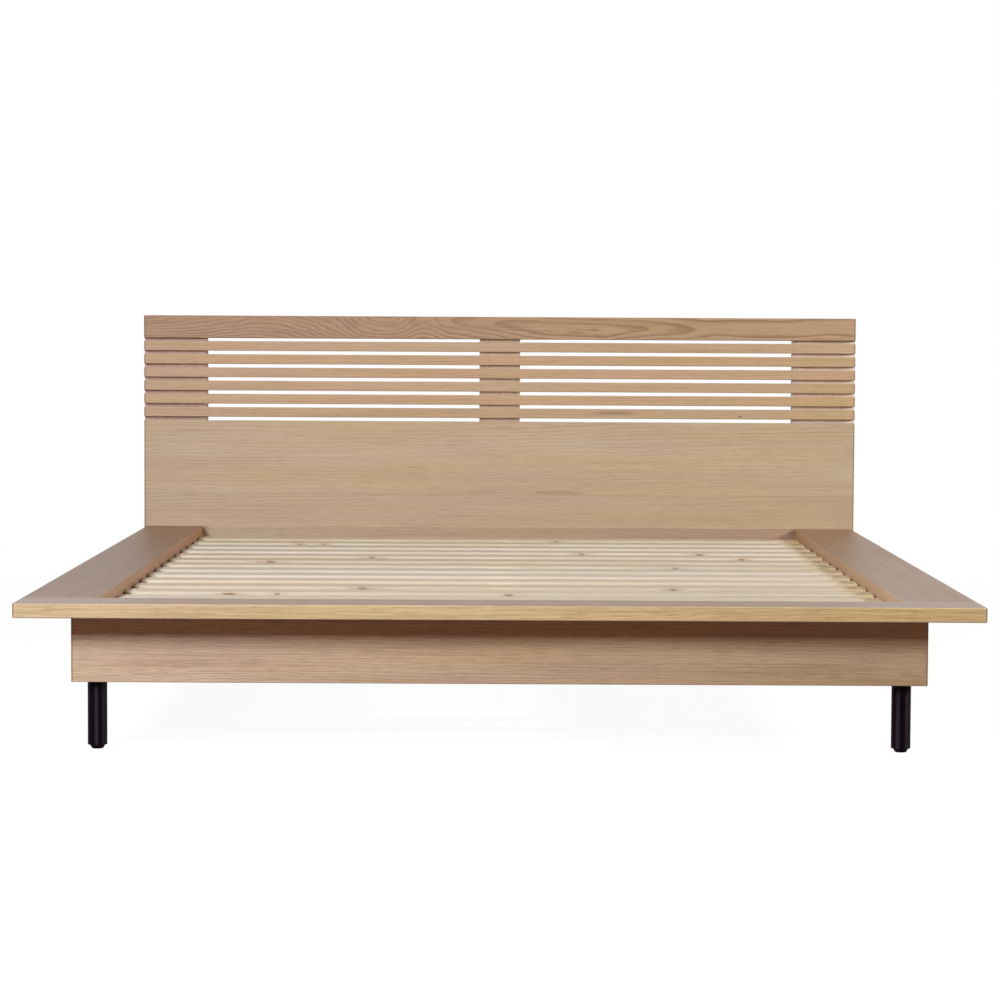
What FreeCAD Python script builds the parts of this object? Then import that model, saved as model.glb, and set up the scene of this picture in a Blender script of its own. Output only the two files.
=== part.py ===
import FreeCAD, Part
import math
import os
from FreeCAD import Vector

# A low oak platform bed with a slatted headboard, in millimetres.
# X runs across the bed, +Y from foot to head, +Z up. The origin is on the floor under the middle.

# The mattress that the bed is made for, with the room left around it
MATTRESS_WIDTH = 1530.0
MATTRESS_LENGTH = 2030.0
MATTRESS_SIDE_ROOM = 12.0
MATTRESS_END_ROOM = 13.0

# Ledges that frame the mattress, and the aprons set back under them
LEDGE_THICKNESS = 28.0
LEDGE_OVERHANG = 98.0
SIDE_LEDGE_LIP = 25.0
FOOT_LEDGE_LIP = 4.0
LEDGE_CORNER_RADIUS = 8.0
APRON_HEIGHT = 133.0
APRON_THICKNESS = 25.0
REAR_RAIL_THICKNESS = 25.0
REAR_LIP_THICKNESS = 10.0
GROUND_CLEARANCE = 134.0

# Headboard
HEADBOARD_RISE = 552.0
HEADBOARD_PROUD = 6.0
HEADBOARD_BOARD_THICKNESS = 14.0
TOP_RAIL_HEIGHT = 59.0
TOP_RAIL_GAP = 7.5
HEADBOARD_SLAT_COUNT = 6
HEADBOARD_SLAT_HEIGHT = 25.5
HEADBOARD_SLAT_GAP = 9.1
POST_THICKNESS = 31.0
END_POST_WIDTH = 164.0
CENTRE_POST_WIDTH = 106.0
POST_TOP_DROP = 10.0

# Deck
DECK_RECESS = 21.0
DECK_SLAT_COUNT = 14
DECK_END_GAP = 96.0
DECK_SLAT_WIDTH = 70.0
DECK_SLAT_THICKNESS = 18.0
DECK_SLAT_END_GAP = 4.0
DECK_SCREW_END_DISTANCE = 15.0

# Framing under the deck
BATTEN_BEARING_WIDTH = 31.0
BATTEN_HEIGHT = 28.0
BATTEN_SCREW_COUNT = 6
BATTEN_SCREW_SINK = 25.0
CORNER_BLOCK_SIDE = 40.0
CENTRE_BEAM_WIDTH = 40.0
BRACKET_LEG = 40.0
BRACKET_HEIGHT = 80.0
BRACKET_THICKNESS = 2.5
BRACKET_SCREW_SPACING = 44.0

# Legs and levelling feet
LEG_DIAMETER = 38.0
LEG_WALL = 2.0
LEG_TOP_PLATE = 6.0
LEG_PLUG_HEIGHT = 16.0
LEG_EDGE_RADIUS = 0.8
CENTRE_LEG_SHARE = 0.55
STUD_DIAMETER = 10.0
STUD_LENGTH = 22.0
INSERT_DIAMETER = 14.0
INSERT_SPARE_DEPTH = 2.0
FOOT_HEIGHT = 7.5
FOOT_RIM_HEIGHT = 2.6
FOOT_RIM_DIAMETER = 28.0
FOOT_BASE_DIAMETER = 21.5
FOOT_STEM_LENGTH = 30.0
FOOT_STEM_CHAMFER = 1.0

# Fasteners
SMALL_SHANK_DIAMETER = 4.0
SMALL_HEAD_DIAMETER = 8.0
SMALL_HEAD_HEIGHT = 3.0
FRAME_SHANK_DIAMETER = 5.0
FRAME_HEAD_DIAMETER = 10.0
FRAME_HEAD_HEIGHT = 3.6
BLOCK_SCREW_SINK = 5.0
SCREW_POINT_LENGTH = 4.0
HEAD_SINK = 0.6
BITE_HEADBOARD = 9.0
BITE_DECK = 20.0
BITE_FRAME = 15.0
BITE_BRACKET = 13.5
BOLT_DIAMETER = 8.0
BOLT_HEAD_DIAMETER = 17.0
BOLT_HEAD_HEIGHT = 3.5
BOLT_PAST_NUT = 11.0
BARREL_NUT_DIAMETER = 10.0
BARREL_NUT_LENGTH = 16.0
BARREL_NUT_SETBACK = 78.0
DOWEL_DIAMETER = 8.0
DOWEL_IN_LEDGE = 14.0
DOWEL_IN_APRON = 22.0
DOWEL_HALF_IN_BUTT = 20.0
SIDE_DOWEL_COUNT = 8
FOOT_DOWEL_COUNT = 7
DOWEL_END_MARGIN = 110.0

# Levels of the fasteners, as shares of the height that is free for them
PANEL_SCREW_LEVELS = (0.30, 0.62, 0.94)
BLOCK_TO_SIDE_LEVELS = (0.25, 0.57)
BLOCK_TO_END_LEVELS = (0.10, 0.80)
BOLT_LEVELS = (0.15, 0.86)

# Edges and clearances
BOARD_EASE = 2.0
SLAT_EASE = 3.0
FRAMING_EASE = 1.5
THREAD_CLEARANCE = 0.05
DOWEL_CLEARANCE = 0.05
BOLT_HOLE_CLEARANCE = 0.3
HEAD_CLEARANCE = 0.3
TIP_CLEARANCE = 1.0
GLUE_GAP = 1.0
STEM_CLEARANCE = 0.08

# Planes that several pieces share
SIDE_LEDGE_WIDTH = LEDGE_OVERHANG + APRON_THICKNESS + SIDE_LEDGE_LIP
FOOT_LEDGE_DEPTH = LEDGE_OVERHANG + APRON_THICKNESS + FOOT_LEDGE_LIP
WELL_HALF = MATTRESS_WIDTH / 2 + MATTRESS_SIDE_ROOM
PLATFORM_HALF = WELL_HALF + SIDE_LEDGE_WIDTH
PLATFORM_LENGTH = FOOT_LEDGE_DEPTH + MATTRESS_LENGTH + MATTRESS_END_ROOM
OVERALL_LENGTH = PLATFORM_LENGTH + HEADBOARD_BOARD_THICKNESS + POST_THICKNESS
FRONT = -OVERALL_LENGTH / 2
WELL_FRONT = FRONT + FOOT_LEDGE_DEPTH
HEAD_FACE = FRONT + PLATFORM_LENGTH
POST_FACE = HEAD_FACE + HEADBOARD_BOARD_THICKNESS
BACK = POST_FACE + POST_THICKNESS
LEDGE_UNDERSIDE = GROUND_CLEARANCE + APRON_HEIGHT
PLATFORM_TOP = LEDGE_UNDERSIDE + LEDGE_THICKNESS
APRON_OUTER = PLATFORM_HALF - LEDGE_OVERHANG
APRON_INNER = APRON_OUTER - APRON_THICKNESS
APRON_MIDDLE = APRON_OUTER - APRON_THICKNESS / 2
FOOT_APRON_FACE = FRONT + LEDGE_OVERHANG
FOOT_APRON_BACK = FOOT_APRON_FACE + APRON_THICKNESS
REAR_RAIL_FACE = HEAD_FACE - REAR_RAIL_THICKNESS
DECK_TOP = PLATFORM_TOP - DECK_RECESS
DECK_UNDERSIDE = DECK_TOP - DECK_SLAT_THICKNESS
DECK_SLAT_END = WELL_HALF - DECK_SLAT_END_GAP
BATTEN_INNER = DECK_SLAT_END - BATTEN_BEARING_WIDTH
BATTEN_UNDERSIDE = DECK_UNDERSIDE - BATTEN_HEIGHT
INSERT_DEPTH = STUD_LENGTH + INSERT_SPARE_DEPTH
INSERT_TOP = GROUND_CLEARANCE + INSERT_DEPTH
LEG_INSET = APRON_INNER - CORNER_BLOCK_SIDE / 2
HEADBOARD_HALF = PLATFORM_HALF + HEADBOARD_PROUD
HEADBOARD_TOP = PLATFORM_TOP + HEADBOARD_RISE
SLAT_PITCH_IN_HEADBOARD = HEADBOARD_SLAT_HEIGHT + HEADBOARD_SLAT_GAP
SLATS_TOP = HEADBOARD_TOP - TOP_RAIL_HEIGHT - TOP_RAIL_GAP
PANEL_TOP = SLATS_TOP - HEADBOARD_SLAT_COUNT * SLAT_PITCH_IN_HEADBOARD

SIDES = {"left": -1, "right": 1}
DOWN = Vector(0, 0, -1)


def block(x, y, z):
    """A square-edged block between two planes on each axis, given in either order."""
    low = Vector(min(x), min(y), min(z))
    high = Vector(max(x), max(y), max(z))
    size = high - low
    return Part.makeBox(size.x, size.y, size.z, low)


def eased(solid, radius, joints=()):
    """Round the edges of a board, except those on a joint, which is an axis number and a position on it."""
    def on_joint(edge):
        return any(all(abs(vertex.Point[axis] - place) < 1e-6 for vertex in edge.Vertexes)
                   for axis, place in joints)
    return solid.makeFillet(radius, [edge for edge in solid.Edges if not on_joint(edge)])


def rod(diameter, start, direction, length):
    return Part.makeCylinder(diameter / 2, length, start, direction)


def bored(solid, cutters):
    return solid.cut(list(cutters))


def spaced(first, last, count):
    """Evenly spaced positions from first to last."""
    step = (last - first) / (count - 1)
    return [first + step * index for index in range(count)]


def level(share, low, high):
    return low + share * (high - low)


class Fastener:
    """A screw or bolt with a flat-seated round head, a hexagon socket and a plain shank."""

    def __init__(self, diameter, length, head_diameter, head_height, point_length, clearance):
        self.diameter = diameter
        self.length = length
        self.head_diameter = head_diameter
        self.head_height = head_height
        self.point_length = point_length
        self.clearance = clearance

    def aimed(self, shape, seat, direction):
        shape.Placement = FreeCAD.Placement(seat, FreeCAD.Rotation(DOWN, direction))
        return shape

    def socket(self):
        across = self.head_diameter * 0.24
        corners = [Vector(across * math.cos(turn), across * math.sin(turn), self.head_height * 0.35)
                   for turn in (math.radians(60 * index) for index in range(7))]
        return Part.Face(Part.makePolygon(corners)).extrude(Vector(0, 0, self.head_height))

    def solid(self, seat, direction):
        """The fastener with the underside of its head on the seat, its shank pointing along direction."""
        head = Part.makeCylinder(self.head_diameter / 2, self.head_height).cut(self.socket())
        straight = self.length - self.point_length
        shank = rod(self.diameter, Vector(0, 0, -straight), Vector(0, 0, 1), straight)
        body = head.fuse(shank)
        if self.point_length:
            point = Part.makeCone(self.diameter * 0.12, self.diameter / 2, self.point_length,
                                  Vector(0, 0, -self.length))
            body = body.fuse(point)
        return self.aimed(body.removeSplitter(), seat, direction)

    def hole(self, seat, direction, sink):
        """What the fastener takes out of the wood: its shank, and its head up to the face at depth sink."""
        reach = self.length + TIP_CLEARANCE
        shank = rod(self.diameter + 2 * self.clearance, Vector(0, 0, -reach), Vector(0, 0, 1), reach)
        if not sink:
            return self.aimed(shank, seat, direction)
        head = Part.makeCylinder(self.head_diameter / 2 + HEAD_CLEARANCE, sink + TIP_CLEARANCE)
        return self.aimed(head.fuse(shank), seat, direction)


SMALL_SINK = SMALL_HEAD_HEIGHT + HEAD_SINK
BOLT_SINK = BOLT_HEAD_HEIGHT + HEAD_SINK


def small_screw(length):
    return Fastener(SMALL_SHANK_DIAMETER, length, SMALL_HEAD_DIAMETER, SMALL_HEAD_HEIGHT,
                    SCREW_POINT_LENGTH, THREAD_CLEARANCE)


def frame_screw(length):
    return Fastener(FRAME_SHANK_DIAMETER, length, FRAME_HEAD_DIAMETER, FRAME_HEAD_HEIGHT,
                    SCREW_POINT_LENGTH, THREAD_CLEARANCE)


HEADBOARD_SCREW = small_screw(POST_THICKNESS - SMALL_SINK + BITE_HEADBOARD)
DECK_SCREW = small_screw(DECK_SLAT_THICKNESS - SMALL_SINK + BITE_DECK)
BRACKET_SCREW = small_screw(BRACKET_THICKNESS + BITE_BRACKET)
BLOCK_SCREW = frame_screw(CORNER_BLOCK_SIDE - BLOCK_SCREW_SINK + BITE_FRAME)
BATTEN_SCREW = frame_screw(APRON_INNER - BATTEN_INNER - BATTEN_SCREW_SINK + BITE_FRAME)
HEADBOARD_BOLT = Fastener(BOLT_DIAMETER, BACK - BOLT_SINK - HEAD_FACE + BARREL_NUT_SETBACK + BOLT_PAST_NUT,
                          BOLT_HEAD_DIAMETER, BOLT_HEAD_HEIGHT, 0.0, BOLT_HOLE_CLEARANCE)


def headboard_members():
    """Bottom and top of each board on the face of the headboard."""
    members = {"headboard_top_rail": (HEADBOARD_TOP - TOP_RAIL_HEIGHT, HEADBOARD_TOP)}
    for index in range(HEADBOARD_SLAT_COUNT):
        top = SLATS_TOP - index * SLAT_PITCH_IN_HEADBOARD
        members["headboard_slat_%d" % (index + 1)] = (top - HEADBOARD_SLAT_HEIGHT, top)
    members["headboard_panel"] = (GROUND_CLEARANCE, PANEL_TOP)
    return members


def headboard_posts():
    """Left and right edge of each post, and the columns of screws in it."""
    inner = HEADBOARD_HALF - END_POST_WIDTH
    columns = [level(share, inner, HEADBOARD_HALF) for share in (0.25, 0.75)]
    return {
        "headboard_post_left": ((-HEADBOARD_HALF, -inner), [-column for column in columns]),
        "headboard_post_centre": ((-CENTRE_POST_WIDTH / 2, CENTRE_POST_WIDTH / 2), [0.0]),
        "headboard_post_right": ((inner, HEADBOARD_HALF), columns),
    }


def bolt_heights():
    return [level(share, GROUND_CLEARANCE, BATTEN_UNDERSIDE) for share in BOLT_LEVELS]


def bolt_seats():
    return [Vector(side * APRON_MIDDLE, BACK - BOLT_SINK, height)
            for side in SIDES.values() for height in bolt_heights()]


def headboard():
    """Rail, slats and panel screwed to three posts from behind."""
    nodes = {}
    forward = Vector(0, -1, 0)
    posts = headboard_posts()
    screws = []
    screw_holes = []
    for bottom, top in headboard_members().values():
        is_panel = top == PANEL_TOP
        heights = [level(share, bottom, top) for share in (PANEL_SCREW_LEVELS if is_panel else (0.5,))]
        for _, columns in posts.values():
            for column in columns:
                seats = [Vector(column, BACK - SMALL_SINK, height) for height in heights]
                screws += [HEADBOARD_SCREW.solid(seat, forward) for seat in seats]
                screw_holes += [(seat, HEADBOARD_SCREW.hole(seat, forward, SMALL_SINK)) for seat in seats]
    bolts = [HEADBOARD_BOLT.solid(seat, forward) for seat in bolt_seats()]
    bolt_holes = [(seat, HEADBOARD_BOLT.hole(seat, forward, BOLT_SINK)) for seat in bolt_seats()]

    for name, (bottom, top) in headboard_members().items():
        board = block((-HEADBOARD_HALF, HEADBOARD_HALF), (HEAD_FACE, POST_FACE), (bottom, top))
        board = eased(board, BOARD_EASE)
        nodes[name] = bored(board, [hole for seat, hole in screw_holes + bolt_holes if bottom < seat.z < top])
    for name, (edges, _) in posts.items():
        board = eased(block(edges, (POST_FACE, BACK), (GROUND_CLEARANCE, HEADBOARD_TOP - POST_TOP_DROP)),
                      BOARD_EASE)
        nodes[name] = bored(board, [hole for seat, hole in screw_holes + bolt_holes
                                    if edges[0] < seat.x < edges[1]])
    nodes["headboard_screws"] = Part.makeCompound(screws)
    nodes["headboard_bolts"] = Part.makeCompound(bolts)
    return nodes


def side_dowel_rows():
    return spaced(FOOT_APRON_BACK + DOWEL_END_MARGIN, HEAD_FACE - DOWEL_END_MARGIN, SIDE_DOWEL_COUNT)


def foot_dowel_rows():
    end = APRON_INNER - DOWEL_END_MARGIN
    return spaced(-end, end, FOOT_DOWEL_COUNT)


def apron_dowels(points):
    """Dowels standing in the top of an apron at the given places, and their holes in apron and ledge."""
    low = LEDGE_UNDERSIDE - DOWEL_IN_APRON
    length = DOWEL_IN_APRON + DOWEL_IN_LEDGE
    wide = DOWEL_DIAMETER + 2 * DOWEL_CLEARANCE
    up = Vector(0, 0, 1)
    dowels = [rod(DOWEL_DIAMETER, Vector(x, y, low), up, length) for x, y in points]
    holes = [rod(wide, Vector(x, y, low), up, length + GLUE_GAP) for x, y in points]
    return dowels, holes


def butt_dowels(side):
    """Dowels lying across the joint between the foot ledge and one side ledge, and their holes."""
    middle = PLATFORM_TOP - LEDGE_THICKNESS / 2
    wide = DOWEL_DIAMETER + 2 * DOWEL_CLEARANCE
    along = Vector(0, 1, 0)
    starts = [Vector(side * (WELL_HALF + SIDE_LEDGE_WIDTH * share), WELL_FRONT - DOWEL_HALF_IN_BUTT, middle)
              for share in (0.25, 0.75)]
    dowels = [rod(DOWEL_DIAMETER, start, along, 2 * DOWEL_HALF_IN_BUTT) for start in starts]
    holes = [rod(wide, start, along, 2 * DOWEL_HALF_IN_BUTT + GLUE_GAP) for start in starts]
    return dowels, holes


def ledges_and_aprons():
    """The visible box of the base: three ledges dowelled on top of three aprons."""
    nodes = {}
    apron_height = (GROUND_CLEARANCE, LEDGE_UNDERSIDE)
    foot_middle = (FOOT_APRON_FACE + FOOT_APRON_BACK) / 2
    all_dowels, foot_holes = apron_dowels([(x, foot_middle) for x in foot_dowel_rows()])

    foot_ledge = block((-PLATFORM_HALF, PLATFORM_HALF), (FRONT, WELL_FRONT), (LEDGE_UNDERSIDE, PLATFORM_TOP))
    corners = [edge for edge in foot_ledge.Edges
               if all(abs(vertex.Y - FRONT) < 1e-6 for vertex in edge.Vertexes)
               and edge.Length < 2 * LEDGE_THICKNESS]
    foot_ledge = eased(foot_ledge.makeFillet(LEDGE_CORNER_RADIUS, corners), BOARD_EASE, [(1, WELL_FRONT)])
    foot_ledge = bored(foot_ledge, foot_holes)

    foot_apron = eased(block((-APRON_OUTER, APRON_OUTER), (FOOT_APRON_FACE, FOOT_APRON_BACK), apron_height),
                       BOARD_EASE, [(2, LEDGE_UNDERSIDE), (1, FOOT_APRON_BACK)])
    frame_holes = [hole for _, hole in frame_screws()]
    bracket_holes = [hole for _, hole in bracket_screws()]
    nodes["foot_apron"] = bored(foot_apron, foot_holes + frame_holes + bracket_holes)

    nuts = []
    for name, side in SIDES.items():
        upright, holes = apron_dowels([(side * APRON_MIDDLE, y) for y in side_dowel_rows()])
        lying, butt_holes = butt_dowels(side)
        all_dowels += upright + lying
        ledge = eased(block((side * WELL_HALF, side * PLATFORM_HALF), (WELL_FRONT, HEAD_FACE),
                            (LEDGE_UNDERSIDE, PLATFORM_TOP)),
                      BOARD_EASE, [(1, WELL_FRONT), (1, HEAD_FACE)])
        nodes["side_ledge_" + name] = bored(ledge, holes + butt_holes)
        foot_ledge = bored(foot_ledge, butt_holes)

        apron = block((side * APRON_INNER, side * APRON_OUTER), (FOOT_APRON_BACK, HEAD_FACE), apron_height)
        apron = eased(apron, BOARD_EASE, [(2, LEDGE_UNDERSIDE), (1, FOOT_APRON_BACK), (1, HEAD_FACE)])
        bolt_holes = [HEADBOARD_BOLT.hole(seat, Vector(0, -1, 0), BOLT_SINK)
                      for seat in bolt_seats() if seat.x * side > 0]
        nut_holes = []
        for height in bolt_heights():
            nut, nut_hole = barrel_nut(side, height)
            nuts.append(nut)
            nut_holes.append(nut_hole)
        nodes["side_apron_" + name] = bored(apron, holes + bolt_holes + nut_holes + frame_holes)
    nodes["foot_ledge"] = foot_ledge
    nodes["ledge_dowels"] = Part.makeCompound(all_dowels)
    nodes["barrel_nuts"] = Part.makeCompound(nuts)
    return nodes


def barrel_nut(side, height):
    """A cross-drilled nut let into the inner face of a side apron, and its hole."""
    inward = side * (APRON_MIDDLE + BARREL_NUT_LENGTH / 2)
    place = Vector(inward, HEAD_FACE - BARREL_NUT_SETBACK, height)
    toward = Vector(-side, 0, 0)
    thread = rod(BOLT_DIAMETER + 2 * THREAD_CLEARANCE,
                 Vector(side * APRON_MIDDLE, place.y - BARREL_NUT_DIAMETER, height),
                 Vector(0, 1, 0), 2 * BARREL_NUT_DIAMETER)
    nut = rod(BARREL_NUT_DIAMETER, place, toward, BARREL_NUT_LENGTH).cut(thread)
    hole = rod(BARREL_NUT_DIAMETER + 2 * THREAD_CLEARANCE, place, toward, APRON_THICKNESS)
    return nut, hole


def corner_places():
    """Centre of each corner block, with the side and the end it belongs to."""
    front = FOOT_APRON_BACK + CORNER_BLOCK_SIDE / 2
    rear = REAR_RAIL_FACE - CORNER_BLOCK_SIDE / 2
    return [("%s_%s" % (end, name), side * LEG_INSET, y, side, toward)
            for end, y, toward in (("front", front, -1), ("rear", rear, 1))
            for name, side in SIDES.items()]


def deck_rows():
    margin = DECK_END_GAP + DECK_SLAT_WIDTH / 2
    return spaced(WELL_FRONT + margin, HEAD_FACE - margin, DECK_SLAT_COUNT)


def frame_screws():
    """Screws from the corner blocks into aprons and rear rail, and from the battens into the side aprons."""
    found = []
    reach = CORNER_BLOCK_SIDE / 2 - BLOCK_SCREW_SINK
    batten_middle = (BATTEN_UNDERSIDE + DECK_UNDERSIDE) / 2
    for _, x, y, side, toward in corner_places():
        for share in BLOCK_TO_SIDE_LEVELS:
            seat = Vector(x - side * reach, y, level(share, INSERT_TOP, BATTEN_UNDERSIDE))
            found.append((BLOCK_SCREW, seat, Vector(side, 0, 0), BLOCK_SCREW_SINK))
        for share in BLOCK_TO_END_LEVELS:
            seat = Vector(x, y - toward * reach, level(share, INSERT_TOP, BATTEN_UNDERSIDE))
            found.append((BLOCK_SCREW, seat, Vector(0, toward, 0), BLOCK_SCREW_SINK))
    for side in SIDES.values():
        for y in batten_screw_rows():
            seat = Vector(side * (BATTEN_INNER + BATTEN_SCREW_SINK), y, batten_middle)
            found.append((BATTEN_SCREW, seat, Vector(side, 0, 0), BATTEN_SCREW_SINK))
    return [(screw.solid(seat, direction), screw.hole(seat, direction, sink))
            for screw, seat, direction, sink in found]


def batten_screw_rows():
    """Places along a batten, each midway between two deck slats."""
    rows = deck_rows()
    gaps = [(near + far) / 2 for near, far in zip(rows, rows[1:])]
    return [gaps[round(place)] for place in spaced(0, len(gaps) - 1, BATTEN_SCREW_COUNT)]


def brackets():
    """Four folded steel angles that hold the ends of the centre beam, with their screw places."""
    half = CENTRE_BEAM_WIDTH / 2
    middle = (GROUND_CLEARANCE + DECK_UNDERSIDE) / 2
    height = (middle - BRACKET_HEIGHT / 2, middle + BRACKET_HEIGHT / 2)
    found = []
    for side in SIDES.values():
        for face, inward in ((FOOT_APRON_BACK, 1), (REAR_RAIL_FACE, -1)):
            near = side * half
            far = face + inward * BRACKET_LEG
            skin = face + inward * BRACKET_THICKNESS
            along = block((near, near + side * BRACKET_THICKNESS), (face, far), height)
            across = block((near, near + side * BRACKET_LEG), (face, skin), height)
            seats = []
            for offset in (-BRACKET_SCREW_SPACING / 2, BRACKET_SCREW_SPACING / 2):
                seats.append((Vector(near + side * BRACKET_THICKNESS, face + inward * BRACKET_LEG * 0.62,
                                     middle + offset), Vector(-side, 0, 0)))
                seats.append((Vector(near + side * BRACKET_LEG * 0.62, face + inward * BRACKET_THICKNESS,
                                     middle + offset), Vector(0, -inward, 0)))
            found.append((along.fuse(across).removeSplitter(), seats))
    return found


def bracket_screws():
    return [(BRACKET_SCREW.solid(*seat), BRACKET_SCREW.hole(*seat, 0))
            for _, seats in brackets() for seat in seats]


def centre_leg_row():
    """Where the one leg under the centre beam stands, a little behind the middle of the bed."""
    return level(CENTRE_LEG_SHARE, FOOT_APRON_BACK, REAR_RAIL_FACE)


def insert_hole(x, y):
    wide = INSERT_DIAMETER + 2 * THREAD_CLEARANCE
    return rod(wide, Vector(x, y, GROUND_CLEARANCE), Vector(0, 0, 1), INSERT_DEPTH)


def rear_rail():
    """Board along the foot of the headboard, with a thin lip that rises between the ledges behind the mattress."""
    shared = [(1, HEAD_FACE), (2, DECK_UNDERSIDE)]
    rail = eased(block((-APRON_INNER, APRON_INNER), (REAR_RAIL_FACE, HEAD_FACE),
                       (GROUND_CLEARANCE, DECK_UNDERSIDE)),
                 FRAMING_EASE, shared + [(0, -APRON_INNER), (0, APRON_INNER)])
    lip = eased(block((-WELL_HALF, WELL_HALF), (HEAD_FACE - REAR_LIP_THICKNESS, HEAD_FACE),
                      (DECK_UNDERSIDE, PLATFORM_TOP)),
                FRAMING_EASE, shared + [(0, -WELL_HALF), (0, WELL_HALF)])
    return rail.fuse(lip).removeSplitter()


def framing():
    """Corner blocks, battens, rear rail and centre beam, with the screws and brackets that hold them."""
    nodes = {}
    frame_holes = [hole for _, hole in frame_screws()]
    deck_holes = [hole for _, hole in deck_screws()]
    bracket_holes = [hole for _, hole in bracket_screws()]
    half_block = CORNER_BLOCK_SIDE / 2
    for name, x, y, side, toward in corner_places():
        joints = [(0, x + side * half_block), (1, y + toward * half_block), (2, GROUND_CLEARANCE),
                  (2, BATTEN_UNDERSIDE)]
        post = eased(block((x - half_block, x + half_block), (y - half_block, y + half_block),
                           (GROUND_CLEARANCE, BATTEN_UNDERSIDE)), FRAMING_EASE, joints)
        nodes["corner_block_" + name] = bored(post, frame_holes + [insert_hole(x, y)])
    for name, side in SIDES.items():
        batten = eased(block((side * BATTEN_INNER, side * APRON_INNER),
                             (FOOT_APRON_BACK, REAR_RAIL_FACE), (BATTEN_UNDERSIDE, DECK_UNDERSIDE)),
                       FRAMING_EASE, [(0, side * APRON_INNER), (1, FOOT_APRON_BACK), (1, REAR_RAIL_FACE)])
        nodes["batten_" + name] = bored(batten, frame_holes + deck_holes)
    nodes["rear_rail"] = bored(rear_rail(), frame_holes + bracket_holes)
    half = CENTRE_BEAM_WIDTH / 2
    beam = eased(block((-half, half), (FOOT_APRON_BACK, REAR_RAIL_FACE), (GROUND_CLEARANCE, DECK_UNDERSIDE)),
                 FRAMING_EASE, [(1, FOOT_APRON_BACK), (1, REAR_RAIL_FACE)])
    nodes["centre_beam"] = bored(beam, bracket_holes + [insert_hole(0.0, centre_leg_row())])
    nodes["beam_brackets"] = Part.makeCompound([bored(angle, bracket_holes) for angle, _ in brackets()])
    nodes["frame_screws"] = Part.makeCompound([screw for screw, _ in frame_screws()])
    nodes["bracket_screws"] = Part.makeCompound([screw for screw, _ in bracket_screws()])
    return nodes


def deck_screws():
    end = DECK_SLAT_END - DECK_SCREW_END_DISTANCE
    seats = [Vector(side * end, y, DECK_TOP - SMALL_SINK) for y in deck_rows() for side in SIDES.values()]
    return [(DECK_SCREW.solid(seat, DOWN), DECK_SCREW.hole(seat, DOWN, SMALL_SINK)) for seat in seats]


def deck():
    """Pine slats across the well, screwed to the battens at both ends."""
    nodes = {}
    holes = [hole for _, hole in deck_screws()]
    for index, y in enumerate(deck_rows()):
        edges = (y - DECK_SLAT_WIDTH / 2, y + DECK_SLAT_WIDTH / 2)
        slat = eased(block((-DECK_SLAT_END, DECK_SLAT_END), edges, (DECK_UNDERSIDE, DECK_TOP)), SLAT_EASE)
        nodes["deck_slat_%02d" % (index + 1)] = bored(slat, holes[2 * index:2 * index + 2])
    nodes["deck_screws"] = Part.makeCompound([screw for screw, _ in deck_screws()])
    return nodes


def leg_places():
    places = {name: (x, y) for name, x, y, _, _ in corner_places()}
    places["centre"] = (0.0, centre_leg_row())
    return places


def leg(x, y):
    """Steel tube with a welded top plate and stud, and a threaded plug in its lower end."""
    height = GROUND_CLEARANCE - FOOT_HEIGHT
    up = Vector(0, 0, 1)
    tube = rod(LEG_DIAMETER, Vector(x, y, FOOT_HEIGHT), up, height)
    tube = tube.makeFillet(LEG_EDGE_RADIUS, [edge for edge in tube.Edges if edge.Closed])
    hollow = rod(LEG_DIAMETER - 2 * LEG_WALL, Vector(x, y, FOOT_HEIGHT + LEG_PLUG_HEIGHT), up,
                 height - LEG_PLUG_HEIGHT - LEG_TOP_PLATE)
    thread = rod(STUD_DIAMETER + 2 * STEM_CLEARANCE, Vector(x, y, 0), up,
                 FOOT_HEIGHT + LEG_PLUG_HEIGHT + LEG_WALL)
    stud = rod(STUD_DIAMETER, Vector(x, y, GROUND_CLEARANCE - LEG_WALL), up, STUD_LENGTH + LEG_WALL)
    return tube.cut(hollow).cut(thread).fuse(stud).removeSplitter()


def insert(x, y):
    start = Vector(x, y, GROUND_CLEARANCE)
    up = Vector(0, 0, 1)
    thread = rod(STUD_DIAMETER + 2 * THREAD_CLEARANCE, start, up, INSERT_DEPTH)
    return rod(INSERT_DIAMETER, start, up, INSERT_DEPTH).cut(thread)


def levelling_foot(x, y):
    """Turned foot with a straight rim, a tapered base and a stem that runs in the plug of the leg."""
    stem = STUD_DIAMETER / 2
    base = FOOT_BASE_DIAMETER / 2
    rim = FOOT_RIM_DIAMETER / 2
    taper_top = FOOT_HEIGHT - FOOT_RIM_HEIGHT
    top = FOOT_HEIGHT + FOOT_STEM_LENGTH
    outline = [(0, 0), (base, 0), (rim, taper_top), (rim, FOOT_HEIGHT), (stem, FOOT_HEIGHT),
               (stem, top - FOOT_STEM_CHAMFER), (stem - FOOT_STEM_CHAMFER, top), (0, top), (0, 0)]
    face = Part.Face(Part.makePolygon([Vector(x + radius, y, z) for radius, z in outline]))
    return face.revolve(Vector(x, y, 0), Vector(0, 0, 1), 360)


def legs():
    nodes = {}
    for name, (x, y) in leg_places().items():
        nodes["leg_" + name] = leg(x, y)
        nodes["levelling_foot_" + name] = levelling_foot(x, y)
    nodes["leg_inserts"] = Part.makeCompound([insert(x, y) for x, y in leg_places().values()])
    return nodes


bed = {}
for group in (headboard(), ledges_and_aprons(), framing(), deck(), legs()):
    bed.update(group)

os.makedirs("parts", exist_ok=True)
for node, shape in bed.items():
    shape.exportStep("parts/%s.step" % node)
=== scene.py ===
"""Low oak double bed with a slatted headboard: finishes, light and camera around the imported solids."""

import math
from functools import reduce

import bpy
from mathutils import Euler, Matrix, Vector


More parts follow.
